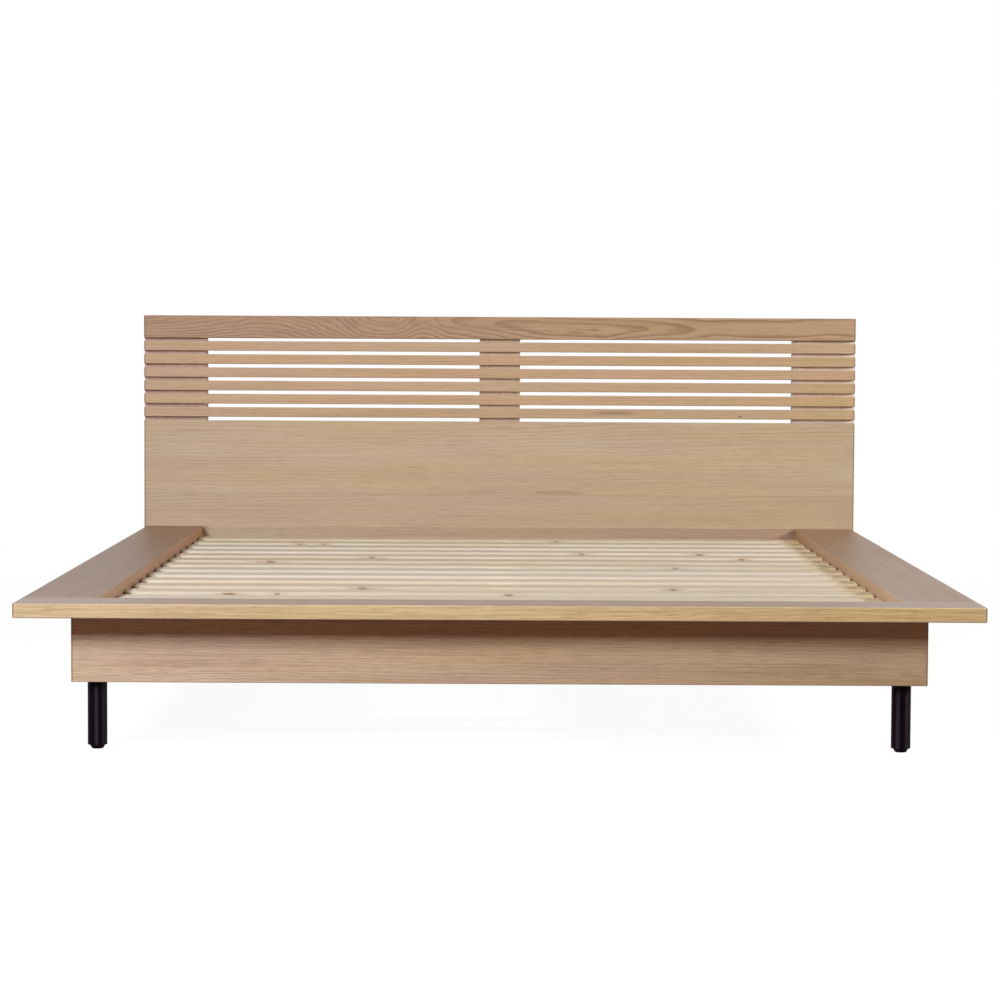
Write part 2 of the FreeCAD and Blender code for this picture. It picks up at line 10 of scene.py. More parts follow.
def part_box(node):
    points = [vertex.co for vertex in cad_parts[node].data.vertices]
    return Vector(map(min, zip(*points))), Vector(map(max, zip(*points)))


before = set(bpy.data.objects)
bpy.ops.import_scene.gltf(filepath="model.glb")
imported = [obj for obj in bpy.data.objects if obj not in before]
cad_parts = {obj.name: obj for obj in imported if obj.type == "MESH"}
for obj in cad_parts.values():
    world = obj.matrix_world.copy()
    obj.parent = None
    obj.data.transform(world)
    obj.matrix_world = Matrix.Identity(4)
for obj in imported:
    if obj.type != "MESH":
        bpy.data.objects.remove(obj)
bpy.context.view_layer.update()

X, Y, Z = 0, 1, 2
UNSCALED = (1.0, 1.0, 1.0)
UNSHIFTED = (0.0, 0.0, 0.0)
WHITE = (1.0, 1.0, 1.0, 1.0)


def paint(red, green, blue):
    """A colour read from a colour card, 0 to 255 a channel, as linear light."""
    def linear(level):
        share = level / 255
        if share <= 0.04045:
            return share / 12.92
        return ((share + 0.055) / 1.055) ** 2.4
    return (linear(red), linear(green), linear(blue), 1.0)


def shaded(colour, red, green, blue):
    """A colour of the card with each channel scaled, as linear light."""
    return paint(colour[0] * red, colour[1] * green, colour[2] * blue)


def tint(red, green, blue):
    """A linear colour to multiply another by."""
    return (red, green, blue, 1.0)


class Socket:
    """An output of a finish's nodes. Arithmetic on it adds the Math nodes that work it out."""

    def __init__(self, finish, output):
        self.finish = finish
        self.output = output

    def math(self, operation, *values):
        return self.finish.add("ShaderNodeMath", {"operation": operation}, dict(enumerate(values)))

    def __add__(self, other):
        return self.math("ADD", self, other)

    def __radd__(self, other):
        return self.math("ADD", other, self)

    def __sub__(self, other):
        return self.math("SUBTRACT", self, other)

    def __rsub__(self, other):
        return self.math("SUBTRACT", other, self)

    def __mul__(self, other):
        return self.math("MULTIPLY", self, other)

    def __rmul__(self, other):
        return self.math("MULTIPLY", other, self)

    def __truediv__(self, other):
        return self.math("DIVIDE", self, other)

    def __rtruediv__(self, other):
        return self.math("DIVIDE", other, self)

    def __abs__(self):
        return self.math("ABSOLUTE", self)

    def root(self):
        return self.math("SQRT", self)

    def fraction(self):
        return self.math("FRACT", self)

    def most(self, other):
        return self.math("MAXIMUM", self, other)

    def least(self, other):
        return self.math("MINIMUM", self, other)


def hypotenuse(first, second):
    return (first * first + second * second).root()


# Sockets of a Mix node that mixes colours, which share their names with its other sockets.
MIX_SHARE, MIX_FIRST, MIX_SECOND, MIX_RESULT = 0, 6, 7, 2


class Finish:
    """The nodes of a material or of the world, added one by one."""

    def __init__(self, owner):
        owner.use_nodes = True
        self.owner = owner
        self.nodes = owner.node_tree.nodes
        self.links = owner.node_tree.links
        self.nodes.clear()

    def add(self, kind, settings=None, inputs=None, output=0):
        """Adds a node of that kind, with its settings and then its inputs, and gives one of its outputs."""
        node = self.nodes.new(kind)
        for name, value in (settings or {}).items():
            if name == "stops":
                self.set_stops(node.color_ramp, value)
            else:
                setattr(node, name, value)
        for name, value in (inputs or {}).items():
            if isinstance(value, Socket):
                self.links.new(value.output, node.inputs[name])
            else:
                node.inputs[name].default_value = value
        if node.outputs:
            return Socket(self, node.outputs[output])

    def set_stops(self, ramp, stops):
        """Gives a ramp grey stops, as pairs of place and level, with a smooth line through them."""
        ramp.interpolation = "CARDINAL"
        for place, _ in stops[1:-1]:
            ramp.elements.new(place)
        for element, (_, level) in zip(ramp.elements, stops):
            element.color = (level, level, level, 1.0)

    def place(self):
        return self.add("ShaderNodeTexCoord", output="Object")

    def apart(self, vector):
        """The three numbers of a vector."""
        made = self.add("ShaderNodeSeparateXYZ", None, {0: vector})
        return [Socket(self, output) for output in made.output.node.outputs]

    def together(self, x, y, z):
        return self.add("ShaderNodeCombineXYZ", None, {0: x, 1: y, 2: z})

    def stretched(self, vector, scale, shift):
        """A vector scaled along each axis and then shifted."""
        settings = {"operation": "MULTIPLY_ADD"}
        return self.add("ShaderNodeVectorMath", settings, {0: vector, 1: scale, 2: shift})

    def pattern(self, vector, scale, shift=UNSHIFTED, detail=2.0, roughness=0.5):
        """Noise with its scale per metre on each axis, and a shift that sets it apart from other noise."""
        inputs = {"Vector": self.stretched(vector, scale, shift), "Scale": 1.0}
        inputs.update({"Detail": detail, "Roughness": roughness})
        return self.add("ShaderNodeTexNoise", {"noise_dimensions": "3D"}, inputs)

    def noise_along(self, value, roughness=0.5):
        inputs = {"W": value, "Scale": 1.0, "Detail": 2.0, "Roughness": roughness}
        return self.add("ShaderNodeTexNoise", {"noise_dimensions": "1D"}, inputs)

    def step(self, value, low, high):
        """0 below low, 1 above high and smooth between them."""
        settings = {"interpolation_type": "SMOOTHSTEP"}
        return self.add("ShaderNodeMapRange", settings, {0: value, 1: low, 2: high, 3: 0.0, 4: 1.0})

    def mix(self, share, first, second, blend="MIX"):
        settings = {"data_type": "RGBA", "blend_type": blend}
        inputs = {MIX_SHARE: share, MIX_FIRST: first, MIX_SECOND: second}
        return self.add("ShaderNodeMix", settings, inputs, MIX_RESULT)

    def tinted(self, colour, share, tints):
        """A colour multiplied by a tint that turns from the first of two into the second."""
        return self.mix(1.0, colour, self.mix(share, *tints), "MULTIPLY")

    def bump(self, height, depth, strength):
        return self.add("ShaderNodeBump", None, {"Strength": strength, "Distance": depth, "Height": height})

    def surface(self, colour, roughness, normal, **constants):
        """Ends a material in one shader."""
        inputs = {"Base Color": colour, "Roughness": roughness, "Normal": normal}
        inputs.update({name.replace("_", " "): value for name, value in constants.items()})
        shader = self.add("ShaderNodeBsdfPrincipled", None, inputs)
        self.add("ShaderNodeOutputMaterial", None, {"Surface": shader})
        return self.owner

    def seen(self):
        """1 for what the camera sees, reflected or through something clear too, and 0 for other light."""
        rays = [self.add("ShaderNodeLightPath", output=name)
                for name in ("Is Camera Ray", "Is Glossy Ray", "Is Transmission Ray")]
        return reduce(Socket.most, rays)


def new_finish(name):
    return Finish(bpy.data.materials.new(name))


def dress(node, material):
    """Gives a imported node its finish."""
    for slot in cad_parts[node].material_slots:
        slot.material = material


class Board:
    """A board's own directions: along the grain, across its face and through its thickness."""

    def __init__(self, finish, node, grain, through):
        low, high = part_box(node)
        centre = (low + high) / 2
        order = (grain, X + Y + Z - grain - through, through)
        parts = finish.apart(finish.place())
        self.finish = finish
        self.half_length, self.half_width, self.half_depth = [(high[axis] - low[axis]) / 2 for axis in order]
        self.along, self.across, self.through = [parts[axis] - centre[axis] for axis in order]
        self.vector = finish.together(self.along, self.across, self.through)

    def from_edge(self):
        """How far a point on the surface is from the nearest edge."""
        ends = self.half_length - abs(self.along)
        sides = self.half_width - abs(self.across)
        faces = self.half_depth - abs(self.through)
        return ends.least(sides).most(ends.most(sides).least(faces))

    def near_ends(self, start, full):
        """Rises from 0 to 1 between two distances from the nearer end."""
        return self.finish.step(abs(self.along), self.half_length - start, self.half_length - full)

    def near_sides(self, start, full):
        """Rises from 0 to 1 between two distances from the nearer long side."""
        return self.finish.step(abs(self.across), self.half_width - start, self.half_width - full)

    def away(self, along, across, length, height):
        """How far a point is from a spot on the face, in shares of the spot's half length and height."""
        return hypotenuse((self.along - along) / length, (self.across - across) / height)

    def share_along(self):
        """0 at one end of the board and 1 at the other."""
        return self.along / (2 * self.half_length) + 0.5


class Tone:
    """The colours of one oak board, all set from its main one. deep says how dark its late wood is."""

    def __init__(self, main, deep):
        self.pale = shaded(main, 1.03, 1.03, 1.04)
        self.warm = shaded(main, 1.01, 0.985, 0.925)
        self.rosy = shaded(main, 0.985, 0.955, 0.98)
        self.late = shaded(main, 1 - 0.20 * deep, 1 - 0.245 * deep, 1 - 0.285 * deep)
        self.pore = shaded(main, 0.56, 0.48, 0.43)
        self.end = shaded(main, 0.62, 0.55, 0.50)


class Oak:
    """How one oak board was sawn and what it looks like. heart lists where the tree's heart lay."""

    ring = 0.0045  # width of a year's ring, in metres
    crowd = 0.0  # how fast the rings narrow away from the heart
    uneven = 1.6  # how unlike each other the years are
    figure = 0.35  # strength of the ring lines
    clear = 0.0  # share of the ring lines that never fades
    deep = 1.0  # darkness of the late wood
    grain = 1.0  # strength of streaks and dashes
    cloud = 0.5  # strength of the rosy clouds
    seed = 0.0  # sets one board's noise apart from another's
    under = 0.0  # painted shade along the lower edge of the face
    sides = 0.0  # painted shade on the long sides
    tints = None  # tints at the board's two ends
    tint_late = False  # whether the tint turns mostly near the second end
    joint = None  # place across of a glued joint between two boards
    lip = None  # tints of the long edges at the board's two ends: paler lipping, partly painted light
    marks_and_shadows = ()  # dark streaks and pin knots, and painted corner shadows

    def __init__(self, main, heart, **choices):
        self.main = main
        self.heart = heart
        for name, value in choices.items():
            setattr(self, name, value)


# Noise in oak: scale per metre along the grain, across it and through the board.
OAK_WANDER = {"scale": (4.0, 16.0, 16.0), "detail": 3.0, "roughness": 0.55}
OAK_FADING = {"scale": (2.2, 22.0, 22.0), "shift": (5.0, 1.0, 3.0)}
OAK_CLOUDS = {"scale": (1.3, 15.0, 15.0), "shift": (2.0, 7.0, 4.0)}
OAK_BLUSH = {"scale": (1.9, 21.0, 21.0), "shift": (9.0, 3.0, 1.0), "roughness": 0.55}
OAK_STREAKS = {"scale": (2.8, 210.0, 210.0), "detail": 4.0, "roughness": 0.62}
OAK_DASHES = {"scale": (22.0, 400.0, 400.0), "shift": (4.0, 2.0, 6.0), "detail": 3.0, "roughness": 0.65}
OAK_FIBRES = {"scale": (60.0, 1500.0, 1500.0), "roughness": 0.6}
OAK_PORES = {"scale": (55.0, 1900.0, 1900.0), "shift": (3.0, 0.0, 8.0), "detail": 1.0}

# Where each of these noises starts to show and where it shows fully.
LINE_SHOWS = (0.25, 0.7)
CLOUD_SHOWS = (0.3, 0.7)
BLUSH_SHOWS = (0.4, 0.72)
STREAK_SHOWS = (0.40, 0.75)
DASH_SHOWS = (0.42, 0.72)
PORE_SHOWS = (0.60, 0.72)
RUBBED_SHOWS = (0.3, 0.65)

# How much of the darker or paler wood each of them brings in.
STREAK_SHARE = 0.30
DASH_SHARE = 0.34
FIBRE_SHARE = 0.35
FIBRE_BASE = 0.1
PORE_SHARE = 0.45
PORES_BETWEEN_LINES = 0.35
RUBBED_SHARE = 0.30
END_SHARE = 0.9

# Rings: how far they stray, in ring widths, how fast the years change, and the late wood's part of a year.
RING_STRAY_ACROSS = 2.2
RING_STRAY_THROUGH = 1.4
YEAR_CHANGE = 0.31
YEAR_ROUGHNESS = 0.6
LATE_RISE = (0.35, 0.92)
LATE_FALL = (0.94, 1.0)

# Bands along edges and ends, in metres from the edge. The under and side bands carry painted shade, and the
# lip band partly painted light.
LIP_BAND = (0.0026, 0.0012)
END_BAND = (0.0045, 0.0020)
UNDER_SHADE_BAND = (0.0010, 0.0034)
SIDE_SHADE_BAND = (0.0012, 0.0004)
RUBBED_BAND = (0.0005, 0.0045)

# A panel glued up from two boards: the lower one comes from another place in the tree.
JOINT_HALF = 0.0002
GLUE_BAND = (0.0003, 0.0014)
GLUE_SHARE = 0.40
LOWER_SHARE = 0.16
LOWER_SHIFT = (3.7, 0.61, 1.3)
LOWER_HEART = 0.14

# Marks: how ragged they are and where they fade, in shares of their half length and height.
MARK_RAGGED = 1.1
MARK_FADES = (0.25, 1.0)

# How far a board's seed shifts its noise along, across and through it.
OAK_SEED_SPREAD = (1.0, 1.7, 0.6)

OAK_ROUGHNESS = 0.43
OAK_RELIEF = 0.0004
OAK_RELIEF_STRENGTH = 0.22
OAK_SPECULAR = 0.3

# Distances to the heart from minus this reach to plus this reach are the levels 0 to 1 of a ramp.
HEART_REACH = 0.5


def heart_line(finish, places, stops):
    """Follows a distance along a board through its stops."""
    levels = [(place, value / (2 * HEART_REACH) + 0.5) for place, value in stops]
    return (finish.add("ShaderNodeValToRGB", {"stops": levels}, {0: places}) - 0.5) * (2 * HEART_REACH)


def sawn_seat(board, wood):
    """Where a board lay in the tree and, if two are glued together, which part is the lower one."""
    finish = board.finish
    shift = tuple(wood.seed * spread for spread in OAK_SEED_SPREAD)
    seat = finish.stretched(board.vector, UNSCALED, shift)
    if wood.joint is None:
        return seat, None
    lower = 1 - finish.step(board.across, wood.joint - JOINT_HALF, wood.joint + JOINT_HALF)
    parts = zip(finish.apart(seat), LOWER_SHIFT)
    return finish.together(*(part + lower * shift for part, shift in parts)), lower


def late_wood_lines(board, wood, seat, lower):
    """The late wood of each year, in rings round the tree's heart."""
    finish = board.finish
    places = board.share_along()
    heart_across = heart_line(finish, places, [(place, across) for place, across, _ in wood.heart])
    heart_through = heart_line(finish, places, [(place, through) for place, _, through in wood.heart])
    wander = finish.pattern(seat, **OAK_WANDER) - 0.5
    across = board.across - heart_across + wander * (wood.ring * RING_STRAY_ACROSS)
    through = board.through - heart_through + wander * (wood.ring * RING_STRAY_THROUGH)
    if lower is not None:
        across = across + lower * LOWER_HEART
    radius = hypotenuse(across, through)
    years = radius / wood.ring
    if wood.crowd:
        years = years + radius * radius * wood.crowd
    if wood.uneven:
        years = years + finish.noise_along(years * YEAR_CHANGE + wood.seed, YEAR_ROUGHNESS) * wood.uneven
    cycle = years.fraction()
    return finish.step(cycle, *LATE_RISE) * (1 - finish.step(cycle, *LATE_FALL))


def mark_and_shadow_share(board, marks_and_shadows, unrest):
    """Dark streaks, pin knots and painted shadows: place along and across, half length, half height and
    strength of each.
    """
    shares = []
    for along, across, length, height, strength in marks_and_shadows:
        away = board.away(along, across, length, height) + (unrest - 0.5) * MARK_RAGGED
        shares.append((1 - board.finish.step(away, *MARK_FADES)) * strength)
    return reduce(Socket.most, shares)


def shade_edges(board, wood, tone, colour):
    """Tints a board along its length, gives its long edges their paler lipping, partly painted light, darkens
    its ends, and paints shade on its lower edge and long sides.
    """
    finish = board.finish
    places = board.share_along()
    if wood.tints:
        turned = places * places * places if wood.tint_late else places
        colour = finish.tinted(colour, turned, wood.tints)
    # Paler lipping on the long edges, partly its own colour and partly painted light.
    if wood.lip:
        colour = finish.mix(board.near_sides(*LIP_BAND), colour, finish.tinted(colour, places, wood.lip))
    dark = board.near_ends(*END_BAND) * END_SHARE
    # Painted shade along the lower edge and on the long sides.
    if wood.under:
        under = 1 - finish.step(board.across + board.half_width, *UNDER_SHADE_BAND)
        dark = dark.most(under * wood.under)
    if wood.sides:
        dark = dark.most(board.near_sides(*SIDE_SHADE_BAND) * wood.sides)
    return finish.mix(dark, colour, tone.end)


def oak(node, grain, through, wood):
    """Dresses a board in oiled oak: growth rings, clouds, fine grain, pores and rubbed edges."""
    finish = new_finish("oak_" + node)
    board = Board(finish, node, grain, through)
    tone = Tone(wood.main, wood.deep)
    seat, lower = sawn_seat(board, wood)
    late = late_wood_lines(board, wood, seat, lower)
    fading = finish.pattern(seat, **OAK_FADING)
    line = late * (finish.step(fading, *LINE_SHOWS) * (1 - wood.clear) + wood.clear)
    clouds = finish.pattern(seat, **OAK_CLOUDS)
    blush = finish.pattern(seat, **OAK_BLUSH)
    streaks = finish.pattern(seat, **OAK_STREAKS)
    dashes = finish.pattern(seat, **OAK_DASHES)
    fibres = finish.pattern(seat, **OAK_FIBRES)
    pores = finish.step(finish.pattern(seat, **OAK_PORES), *PORE_SHOWS)
    pores = pores * (PORES_BETWEEN_LINES + (1 - PORES_BETWEEN_LINES) * late)

    colour = finish.mix(finish.step(clouds, *CLOUD_SHOWS), tone.pale, tone.warm)
    colour = finish.mix(finish.step(blush, *BLUSH_SHOWS) * wood.cloud, colour, tone.rosy)
    colour = finish.mix(finish.step(streaks, *STREAK_SHOWS) * (STREAK_SHARE * wood.grain), colour, tone.late)
    colour = finish.mix(line * wood.figure, colour, tone.late)
    colour = finish.mix(finish.step(dashes, *DASH_SHOWS) * (DASH_SHARE * wood.grain), colour, tone.late)
    colour = finish.mix((fibres - 0.5) * FIBRE_SHARE + FIBRE_BASE, colour, tone.late)
    colour = finish.mix(pores * PORE_SHARE, colour, tone.pore)
    if wood.marks_and_shadows:
        colour = finish.mix(mark_and_shadow_share(board, wood.marks_and_shadows, streaks), colour, tone.pore)
    if lower is not None:
        glue_line = 1 - finish.step(abs(board.across - wood.joint), *GLUE_BAND)
        colour = finish.mix(lower * LOWER_SHARE + glue_line * GLUE_SHARE, colour, tone.late)
    colour = shade_edges(board, wood, tone, colour)
    rubbed = (1 - finish.step(board.from_edge(), *RUBBED_BAND)) * finish.step(fading, *RUBBED_SHOWS)
    colour = finish.mix(rubbed * RUBBED_SHARE, colour, tone.pale)

    height = streaks * 0.3 + dashes * 0.3 + fibres * 0.2 - pores * 0.8 - line * 0.35
    normal = finish.bump(height, OAK_RELIEF, OAK_RELIEF_STRENGTH)
    roughness = OAK_ROUGHNESS + (streaks - 0.5) * 0.16 + pores * 0.2 - rubbed * 0.08
    dress(node, finish.surface(colour, roughness, normal, Specular_IOR_Level=OAK_SPECULAR))


# Noise in pine: scale per metre along the grain, across it and through the board.
PINE_WANDER = {"scale": (1.6, 9.0, 9.0)}
PINE_CLOUDS = {"scale": (1.4, 16.0, 16.0), "shift": (1.0, 6.0, 2.0)}
PINE_STREAKS = {"scale": (4.0, 420.0, 420.0), "detail": 3.0, "roughness": 0.6}

# Rings in pine: their width, how far they stray and how far off the heart lies, in metres, how fast the
# years change, and the late wood's part of a year.
PINE_RING = 0.0062
PINE_STRAY_ACROSS = 0.03
PINE_STRAY_THROUGH = 0.02
PINE_HEART_ACROSS = 0.05
PINE_HEART_THROUGH = 0.05
PINE_HEART_VARIES = 0.03
PINE_YEAR_CHANGE = 60.0
PINE_LATE_RISE = (0.25, 0.9)
PINE_LATE_FALL = (0.93, 1.0)

# Knots: their colour, how long they are for their height, and where core and halo fade, in radii.
KNOT = (136, 101, 66)
KNOT_LENGTH = 1.7
KNOT_CORE_FADES = (0.45, 1.05)
KNOT_HALO_FADES = (0.8, 3.4)
KNOT_HALO_SHARE = 0.32

# Painted shade and light on a pine board: the face that looks up or to the right is painted darker as shade,
# one end is painted yellower as warm light in the shade there, and the edges are soiled.
TOP_SHADE_BAND = (0.0030, 0.0010)
TOP_SHADE_SHARE = 0.80
WARM_LIT_END_LENGTH = 0.080
WARM_LIT_END_SHARE = 0.8
SOILED_BAND = (0.0005, 0.005)
SOILED_SHOWS = (0.35, 0.65)
SOILED_SHARE = 0.18
PINE_STREAK_SHOWS = (0.45, 0.8)
PINE_STREAK_SHARE = 0.3

# How far a board's seed shifts its noise along, across and through it, and how it moves the heart.
PINE_SEED_SPREAD = (1.3, 1.0, 0.7)
PINE_SEED_TURNS = (12.9, 7.3)

PINE = (217, 204, 184)
PINE_ROUGHNESS = 0.66
PINE_RELIEF = 0.0004
PINE_RELIEF_STRENGTH = 0.25
PINE_SPECULAR = 0.25


def knot_wood(board, knots):
    """How far knots push the rings aside, and how much of the wood is theirs."""
    pushes = []
    shares = []
    for along, across, radius in knots:
        away = board.away(along, across, radius * KNOT_LENGTH, radius)
        core = 1 - board.finish.step(away, *KNOT_CORE_FADES)
        halo = 1 - board.finish.step(away, *KNOT_HALO_FADES)
        pushes.append(radius / (1 + away * away))
        shares.append(core.most(halo * KNOT_HALO_SHARE))
    return reduce(Socket.__add__, pushes), reduce(Socket.most, shares)


def pine(node, grain, through, seed, main=PINE, knots=()):
    """Dresses a board in planed raw pine. knots lists each knot's place along and across, and its radius."""
    finish = new_finish("pine_" + node)
    board = Board(finish, node, grain, through)
    shift = tuple(seed * spread for spread in PINE_SEED_SPREAD)
    seat = finish.stretched(board.vector, UNSCALED, shift)
    late_wood = shaded(main, 0.89, 0.83, 0.74)
    warm_lit_end_wood = shaded(main, 1.02, 0.95, 0.79)
    top_shade_wood = shaded(main, 0.90, 0.86, 0.82)

    wander = finish.pattern(seat, **PINE_WANDER) - 0.5
    heart_across = PINE_HEART_ACROSS * math.sin(seed * PINE_SEED_TURNS[0])
    heart_through = PINE_HEART_THROUGH + PINE_HEART_VARIES * math.cos(seed * PINE_SEED_TURNS[1])
    across = board.across + wander * PINE_STRAY_ACROSS + heart_across
    if knots:
        pushed, knot_share = knot_wood(board, knots)
        across = across + pushed
    radius = hypotenuse(across, board.through + wander * PINE_STRAY_THROUGH - heart_through)
    cycle = (radius / PINE_RING + finish.noise_along(radius * PINE_YEAR_CHANGE + seed)).fraction()
    late_band = finish.step(cycle, *PINE_LATE_RISE) * (1 - finish.step(cycle, *PINE_LATE_FALL))

    clouds = finish.pattern(seat, **PINE_CLOUDS)
    streaks = finish.pattern(seat, **PINE_STREAKS)
    colour = finish.mix(late_band * (0.18 + clouds * 0.5), paint(*main), late_wood)
    colour = finish.mix(finish.step(streaks, *PINE_STREAK_SHOWS) * PINE_STREAK_SHARE, colour, late_wood)
    if knots:
        colour = finish.mix(knot_share * (0.55 + streaks * 0.6), colour, paint(*KNOT))
    # Paints shade on the face that looks up or to the right.
    top_shade_start, top_shade_full = TOP_SHADE_BAND
    top = finish.step(board.through, board.half_depth - top_shade_start, board.half_depth - top_shade_full)
    colour = finish.mix(top * TOP_SHADE_SHARE, colour, top_shade_wood)
    # Paints warm light into the shade at one end, as a yellower band.
    ragged = board.along + (streaks - 0.5) * WARM_LIT_END_LENGTH
    warm_lit_end = finish.step(ragged, board.half_length - WARM_LIT_END_LENGTH, board.half_length)
    colour = finish.mix(warm_lit_end * WARM_LIT_END_SHARE, colour, warm_lit_end_wood)
    soiled = (1 - finish.step(board.from_edge(), *SOILED_BAND)) * finish.step(clouds, *SOILED_SHOWS)
    colour = finish.mix(soiled * SOILED_SHARE, colour, late_wood)

    normal = finish.bump(streaks * 0.5 + late_band * 0.4, PINE_RELIEF, PINE_RELIEF_STRENGTH)
    roughness = PINE_ROUGHNESS + (streaks - 0.5) * 0.14 - late_band * 0.06
    dress(node, finish.surface(colour, roughness, normal, Specular_IOR_Level=PINE_SPECULAR))


# Noise in the black coat and in zinc: scale per metre along x, y and z.
COAT_PEEL = {"scale": (900.0, 900.0, 900.0)}
COAT_PATCHES = {"scale": (40.0, 40.0, 12.0), "detail": 3.0, "roughness": 0.55}
COAT_SCUFFS = {"scale": (60.0, 60.0, 900.0), "roughness": 0.6}
ZINC_CLOUDS = {"scale": (260.0, 260.0, 260.0), "detail": 3.0, "roughness": 0.6}
ZINC_BRUSHING = {"scale": (1400.0, 300.0, 1400.0)}

PATCH_SHOWS = (0.45, 0.8)
SCUFF_SHOWS = (0.66, 0.8)
COAT_DUST = 16
COAT_RELIEF = 0.0002
COAT_SPECULAR = 0.03
# Painted highlights on the legs: the colour of the paler lines that stand in for the lamps' glints, and their
# band.
PAINTED_HIGHLIGHT = (54, 46, 59)
PAINTED_HIGHLIGHT_BAND = (0.0006, 0.0054)

ZINC_BRIGHT = (176, 176, 172)
ZINC_DULL = (140, 138, 130)
ZINC_CLOUD_SHOWS = (0.3, 0.75)
ZINC_ROUGHNESS = 0.34
ZINC_RELIEF = 0.0001
ZINC_RELIEF_STRENGTH = 0.2


def black_coat(node, colour, roughness, peel, painted_highlights=()):
    """Dresses a piece in black coat or plastic, with painted highlights as shares of its half width."""
    finish = new_finish("black_" + node)
    board = Board(finish, node, Z, Y)
    place = finish.place()
    patches = finish.pattern(place, **COAT_PATCHES)
    scuffs = finish.step(finish.pattern(place, **COAT_SCUFFS), *SCUFF_SHOWS)
    dusty = paint(*(level + COAT_DUST for level in colour))
    worn = finish.step(patches, *PATCH_SHOWS) * 0.35 + scuffs * 0.25
    shade = finish.mix(worn, paint(*colour), dusty)
    # Paints highlight lines down the tube.
    for share in painted_highlights:
        line = 1 - finish.step(abs(board.across - share * board.half_width), *PAINTED_HIGHLIGHT_BAND)
        shade = finish.mix(line * (0.7 + patches * 0.4), shade, paint(*PAINTED_HIGHLIGHT))
    rough = roughness + (patches - 0.5) * 0.12 + scuffs * 0.1
    normal = finish.bump(finish.pattern(place, **COAT_PEEL), COAT_RELIEF, peel)
    dress(node, finish.surface(shade, rough, normal, Specular_IOR_Level=COAT_SPECULAR))


def zinc(name):
    """Bright zinc plate on steel, a little cloudy, as one material for many pieces."""
    finish = new_finish(name)
    place = finish.place()
    clouds = finish.pattern(place, **ZINC_CLOUDS)
    colour = finish.mix(finish.step(clouds, *ZINC_CLOUD_SHOWS), paint(*ZINC_BRIGHT), paint(*ZINC_DULL))
    rough = ZINC_ROUGHNESS + clouds * 0.2
    normal = finish.bump(finish.pattern(place, **ZINC_BRUSHING), ZINC_RELIEF, ZINC_RELIEF_STRENGTH)
    return finish.surface(colour, rough, normal, Metallic=1.0)


# Where the tree's heart lay: share of the board's length, and distance across and through from its middle.
STRAIGHT = [(0.0, 0.32, 0.30), (0.5, 0.33, 0.30), (1.0, 0.34, 0.31)]

# Above the rail at its left end, in through its top edge before the middle, and then along inside it.
RAIL_HEART = [
    (0.000, 0.074, 0.013), (0.055, 0.074, 0.033), (0.140, 0.074, 0.057), (0.196, 0.070, 0.053),
    (0.243, 0.056, 0.043), (0.278, 0.040, 0.039), (0.337, 0.034, -0.002), (0.386, 0.034, 0.037),
    (0.421, 0.026, 0.029), (0.499, 0.014, 0.015), (0.562, 0.002, 0.006), (0.639, -0.006, 0.003),
    (0.670, -0.004, 0.009), (0.713, -0.002, 0.0147), (0.783, -0.001, 0.0247), (0.836, 0.001, 0.0258),
    (0.870, 0.003, 0.0272), (0.897, 0.004, 0.0288), (0.930, 0.006, 0.0272), (1.000, 0.010, 0.0262),
]
# The rail gets painted shade along its lower edge.
RAIL = Oak(
    (171, 143, 119), RAIL_HEART, ring=0.012, crowd=350.0, figure=0.85, deep=1.45, uneven=0.0, clear=0.4,
    under=0.2, seed=0.3,
    tints=(tint(1.06, 1.06, 1.04), tint(1.19, 1.27, 1.21)),
    marks_and_shadows=(
        (0.200, -0.010, 0.034, 0.008, 0.30), (-0.390, 0.010, 0.030, 0.022, 0.22),
        (-0.225, 0.014, 0.024, 0.016, 0.18), (-0.560, -0.016, 0.110, 0.010, 0.14),
    ),
)

# The slats of the headboard from the top down, with marks on some of them.
SLAT_WOODS = (
    (197, 173, 146), (199, 173, 141), (198, 171, 144),
    (196, 172, 144), (199, 172, 140), (194, 170, 141),
)
SLAT_TINTS = (tint(0.97, 0.95, 0.97), tint(0.95, 0.97, 0.91))
SLAT_MARKS = {6: ((0.301, 0.002, 0.085, 0.008, 0.45), (0.631, -0.006, 0.007, 0.003, 0.8))}

PANEL = Oak(
    (196, 177, 152), STRAIGHT, seed=8.1, cloud=0.7, joint=0.0275,
    tints=(tint(1.0, 1.025, 1.06), tint(0.95, 0.975, 0.965)),
    marks_and_shadows=((0.147, 0.0335, 0.10, 0.008, 0.30), (-0.040, 0.034, 0.08, 0.005, 0.18)),
)
# Post colours, painted paler than the slats: painted light that lifts the shade the posts get between the
# slats.
POST_WOODS_PAINTED_PALE = {"left": (206, 185, 177), "centre": (222, 208, 190), "right": (232, 216, 204)}


def dress_headboard():
    """Rail, slats, panel and posts."""
    oak("headboard_top_rail", X, Y, RAIL)
    for number, main in enumerate(SLAT_WOODS, 1):
        marks_and_shadows = SLAT_MARKS.get(number, ())
        # Each slat gets painted shade along its lower edge.
        wood = Oak(main, STRAIGHT, seed=1.1 * number, under=0.15, tints=SLAT_TINTS, marks_and_shadows=marks_and_shadows)
        oak("headboard_slat_%d" % number, X, Y, wood)
    oak("headboard_panel", X, Y, PANEL)
    # The posts' long sides get painted shade.
    for number, (side, main) in enumerate(POST_WOODS_PAINTED_PALE.items()):
        oak("headboard_post_" + side, Z, Y, Oak(main, STRAIGHT, seed=12.3 + number, sides=1.0))


